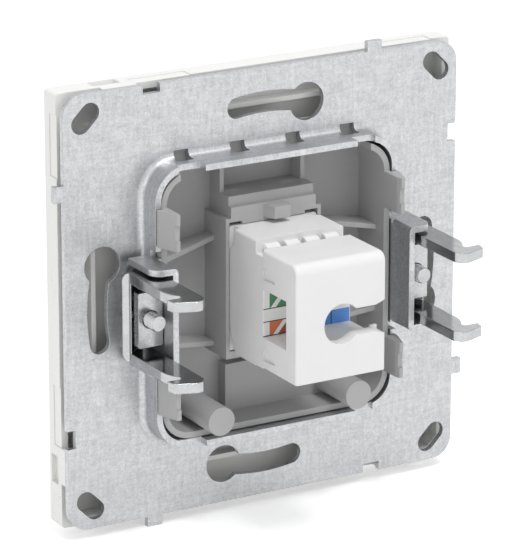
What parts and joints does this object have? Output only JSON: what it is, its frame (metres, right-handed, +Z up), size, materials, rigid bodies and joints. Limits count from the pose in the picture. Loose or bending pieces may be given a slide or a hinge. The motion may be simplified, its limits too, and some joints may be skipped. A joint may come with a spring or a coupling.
{
  "type": "ethernet socket",
  "caption": "Flush-mounted ethernet wall socket: steel support plate with claws, clip-in carrier, data jack with removable wire cap, and front cover.",
  "frame": {"origin": "centre of the support plate's rear face, which lies against the wall and the wall box", "axes": "+Z up, +Y out of the rear into the wall box, front of the socket towards -Y, X across"},
  "size_m": [0.0744, 0.0297, 0.0744],
  "materials": {
    "galvanised_sheet": "galvanised, fine spangle",
    "zinc_claw": "bright zinc plating",
    "zinc_fastener": "bright zinc plating",
    "carrier_grey": "satin moulded",
    "cover_white": "smooth",
    "jack_white": "satin moulded",
    "contact_black": "moulded",
    "board_green": "solder mask",
    "contact_gold": "gold plated",
    "contact_tin": "tin plated",
    "label_print": "printed label"
  },
  "bodies": {
    "socket": {"support_plate": "galvanised_sheet", "insert_carrier": "carrier_grey", "jack_body": "jack_white", "port_insert": "jack_white", "contact_block": "contact_black", "circuit_board": "board_green", "contact_spring_1": "contact_gold", "contact_spring_2": "contact_gold", "contact_spring_3": "contact_gold", "contact_spring_4": "contact_gold", "contact_spring_5": "contact_gold", "contact_spring_6": "contact_gold", "contact_spring_7": "contact_gold", "contact_spring_8": "contact_gold", "wire_contact_1": "contact_tin", "wire_contact_2": "contact_tin", "wire_contact_3": "contact_tin", "wire_contact_4": "contact_tin", "wire_contact_5": "contact_tin", "wire_contact_6": "contact_tin", "wire_contact_7": "contact_tin", "wire_contact_8": "contact_tin", "wiring_label": "label_print"},
    "cap": {"wire_cap": "jack_white"},
    "cover": {"front_cover": "cover_white"},
    "screw_left": {"claw_screw_left": "zinc_fastener"},
    "nut_left": {"clamp_nut_left": "zinc_fastener"},
    "claw_left": {"claw_left": "zinc_claw"},
    "screw_right": {"claw_screw_right": "zinc_fastener"},
    "nut_right": {"clamp_nut_right": "zinc_fastener"},
    "claw_right": {"claw_right": "zinc_claw"}
  },
  "joints": [
    {"name": "screw_turn_left", "type": "hinge", "parent": "socket", "child": "screw_left", "pos_m": [0.0241, 0, 0], "axis": [0, 1, 0], "range_deg": [0, 2950]},
    {"name": "nut_travel_left", "type": "slide", "parent": "socket", "child": "nut_left", "axis": [0, -1, 0], "range_m": [0, 0.0041]},
    {"name": "claw_spread_left", "type": "slide", "parent": "socket", "child": "claw_left", "axis": [1, 0, 0], "range_m": [0, 0.004]},
    {"name": "screw_turn_right", "type": "hinge", "parent": "socket", "child": "screw_right", "pos_m": [-0.0241, 0, 0], "axis": [0, 1, 0], "range_deg": [0, 2950]},
    {"name": "nut_travel_right", "type": "slide", "parent": "socket", "child": "nut_right", "axis": [0, -1, 0], "range_m": [0, 0.0041]},
    {"name": "claw_spread_right", "type": "slide", "parent": "socket", "child": "claw_right", "axis": [-1, 0, 0], "range_m": [0, 0.004]},
    {"name": "cap_pull", "type": "slide", "parent": "socket", "child": "cap", "axis": [0, 1, 0], "range_m": [0, 0.015]},
    {"name": "cover_pull", "type": "slide", "parent": "socket", "child": "cover", "axis": [0, -1, 0], "range_m": [0, 0.015]}
  ],
  "couplings": [
    {"joint": "nut_travel_left", "follows": "claw_spread_left", "ratio": 1},
    {"joint": "screw_turn_left", "follows": "claw_spread_left", "rad_per_m": 12566},
    {"joint": "nut_travel_right", "follows": "claw_spread_right", "ratio": 1},
    {"joint": "screw_turn_right", "follows": "claw_spread_right", "rad_per_m": 12566}
  ]
}
